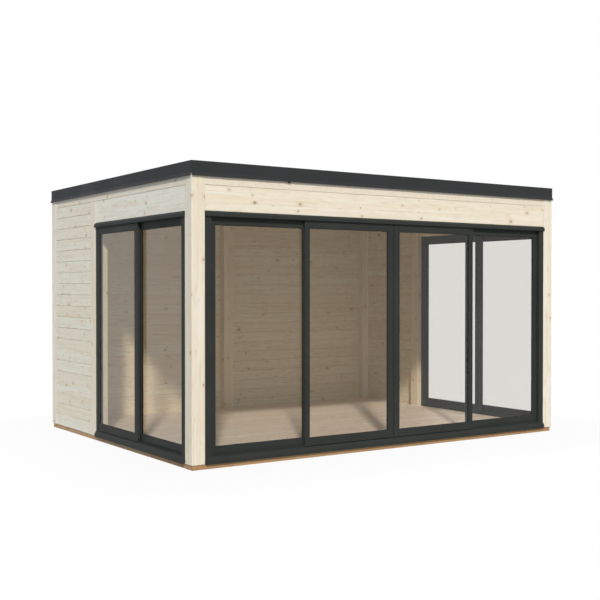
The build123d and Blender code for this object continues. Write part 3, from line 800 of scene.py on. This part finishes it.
seals = {
    "inset": 0.0077,
    "foot": 0.008,
    "lip": ((0.0, 0.0), (0.0026, 0.0), (0.0024, 0.0016), (0.0016, 0.0034), (0.0, 0.0048)),
    "panes": {
        "front_fixed": ("front_fixed_glass", "room"),
        "side_fixed": ("side_fixed_glass", "room"),
        "front_left": ("front_left_sliding_glass", "front_left_door"),
        "front_right": ("front_right_sliding_glass", "front_right_door"),
        "left": ("left_sliding_glass", "left_door"),
        "right": ("right_sliding_glass", "right_door"),
    },
}


# Seal: a lip outline of (in from the bar, out from the glass) points is carried round the pane's
# four corners, on both faces of the glass.
def sealRings(boxes):
    lip = np.array(seals["lip"])
    rings = []
    for boxLow, boxHigh in boxes:
        thin = int(np.argmin(boxHigh - boxLow))
        run = 1 - thin
        for face, way in ((boxLow[thin], -1), (boxHigh[thin], 1)):
            edgeLow = boxLow[run] + seals["inset"] + lip[:, 0]
            edgeHigh = boxHigh[run] - seals["inset"] - lip[:, 0]
            foot = boxLow[2] + seals["foot"] + lip[:, 0]
            top = boxHigh[2] - seals["inset"] - lip[:, 0]
            ring = np.empty((4, len(lip), 3))
            ring[..., thin] = face + way * lip[:, 1]
            ring[..., run] = np.stack((edgeLow, edgeHigh, edgeHigh, edgeLow))
            ring[..., 2] = np.stack((foot, foot, top, top))
            rings.append(ring if (way > 0) == (thin == 0) else ring[::-1])
    return np.array(rings)


for label, (glass, body) in seals["panes"].items():
    rings = sealRings(looseBoxes(glass))
    count, corners, rim = rings.shape[:3]
    start = np.arange(count)[:, None, None] * corners * rim
    corner = np.arange(corners)[None, :, None] * rim
    following = (np.arange(corners)[None, :, None] + 1) % corners * rim
    around = np.arange(rim)[None, None, :]
    onward = (around + 1) % rim
    here, there = start + corner, start + following
    quads = np.stack((here + around, there + around, there + onward, here + onward), axis=-1).reshape(-1, 4)
    meshPiece(f"{label}_seals", rings, quads.tolist(), "seal", body)
print("seals:", len(seals["panes"]))

stage = {
    "floorSize": 40.0,
    "floorDrop": 0.0008,
    "floorShade": (0.62, 0.62, 0.62, 1.0),
    "fadeFrom": 0.05,
    "fadeTo": 1.5,
    "nearShare": 0.94,
    "footprint": (1.985, 1.51, 0.0),
    "fill": (0.245, 0.285, 0.305, 1.0),
    "lamps": {
        "key": {"way": (0.435, 0.724, -0.534), "colour": (1.0, 0.95, 0.885), "strength": 2.55, "angle": 4.0},
        "soft": {"way": (0.12, 0.99, -0.08), "colour": (1.0, 0.92, 0.82), "strength": 0.3, "angle": 40.0},
        "sky": {"way": (0.97, -0.1, -0.2), "colour": (0.15, 0.48, 1.0), "strength": 0.2, "angle": 60.0},
        "back": {"way": (-0.66, -0.73, -0.16), "colour": (1.0, 0.88, 0.76), "strength": 1.15, "angle": 50.0},
    },
}


# white for what the camera and clear or glossy surfaces see of the surroundings
def seenRays(tree):
    path = put(tree, "LightPath").outputs
    seen = calc(tree, "MAXIMUM", path["Is Camera Ray"], path["Is Glossy Ray"])
    return calc(tree, "MAXIMUM", seen, path["Is Transmission Ray"])


# Studio floor: matt near the building, turning white with the distance from its footprint
def floorMaterial():
    material, tree = freshMaterial("studioFloor")
    place = put(tree, "TexCoord").outputs["Object"]
    outside = vector(tree, "SUBTRACT", vector(tree, "ABSOLUTE", place), stage["footprint"])
    distance = vector(tree, "LENGTH", vector(tree, "MAXIMUM", outside, (0.0, 0.0, 0.0)))
    fade = spread(tree, distance, stage["fadeFrom"], stage["fadeTo"], stage["nearShare"], 1.0)
    matt = put(tree, "BsdfDiffuse", {"Color": stage["floorShade"]})
    white = put(tree, "Emission", {"Color": (1.0, 1.0, 1.0, 1.0), "Strength": 1.0})
    factor = calc(tree, "MULTIPLY", fade, seenRays(tree))
    shader = put(tree, "MixShader", {0: factor, 1: matt.outputs[0], 2: white.outputs[0]})
    finishMaterial(tree, shader.outputs[0])
    return material


half = stage["floorSize"] / 2
floorMesh = bpy.data.meshes.new("studio_floor")
corners = np.array(((-1, -1, 0), (1, -1, 0), (1, 1, 0), (-1, 1, 0)), float) * half
corners[:, 2] = -stage["floorDrop"]
floorMesh.from_pydata(corners, [], [(0, 1, 2, 3)])
studioFloor = bpy.data.objects.new("studio_floor", floorMesh)
bpy.context.scene.collection.objects.link(studioFloor)
floorMesh.materials.append(floorMaterial())

world = bpy.data.worlds.new("studio")
bpy.context.scene.world = world
world.use_nodes = True
tree = world.node_tree
tree.nodes.clear()
fill = put(tree, "Background", {"Color": stage["fill"], "Strength": 1.0})
white = put(tree, "Background", {"Color": (1.0, 1.0, 1.0, 1.0), "Strength": 1.0})
shader = put(tree, "MixShader", {0: seenRays(tree), 1: fill.outputs[0], 2: white.outputs[0]})
put(tree, "OutputWorld", {"Surface": shader.outputs[0]})

for name, look in stage["lamps"].items():
    lampData = bpy.data.lights.new(name, "SUN")
    lampData.energy = look["strength"]
    lampData.color = look["colour"]
    lampData.angle = math.radians(look["angle"])
    lamp = bpy.data.objects.new(name, lampData)
    wayX, wayY, wayZ = look["way"]
    tilt = math.acos(-wayZ / math.hypot(wayX, wayY, wayZ))
    lamp.rotation_euler = (tilt, 0.0, math.atan2(wayY, wayX) - math.pi / 2)
    bpy.context.scene.collection.objects.link(lamp)

camera = {
    "place": (-5.5553, -8.3127, 1.3891),
    "yaw": 33.853,
    "pitch": -0.664,
    "lens": 60.728,
    "sensor": 36.0,
}
cameraData = bpy.data.cameras.new("camera")
cameraData.lens = camera["lens"]
cameraData.sensor_width = camera["sensor"]
viewer = bpy.data.objects.new("camera", cameraData)
viewer.location = camera["place"]
viewer.rotation_euler = (math.radians(90 + camera["pitch"]), 0.0, -math.radians(camera["yaw"]))
bpy.context.scene.collection.objects.link(viewer)
bpy.context.scene.camera = viewer
bpy.context.scene.view_settings.view_transform = "Standard"
print("studio ready")
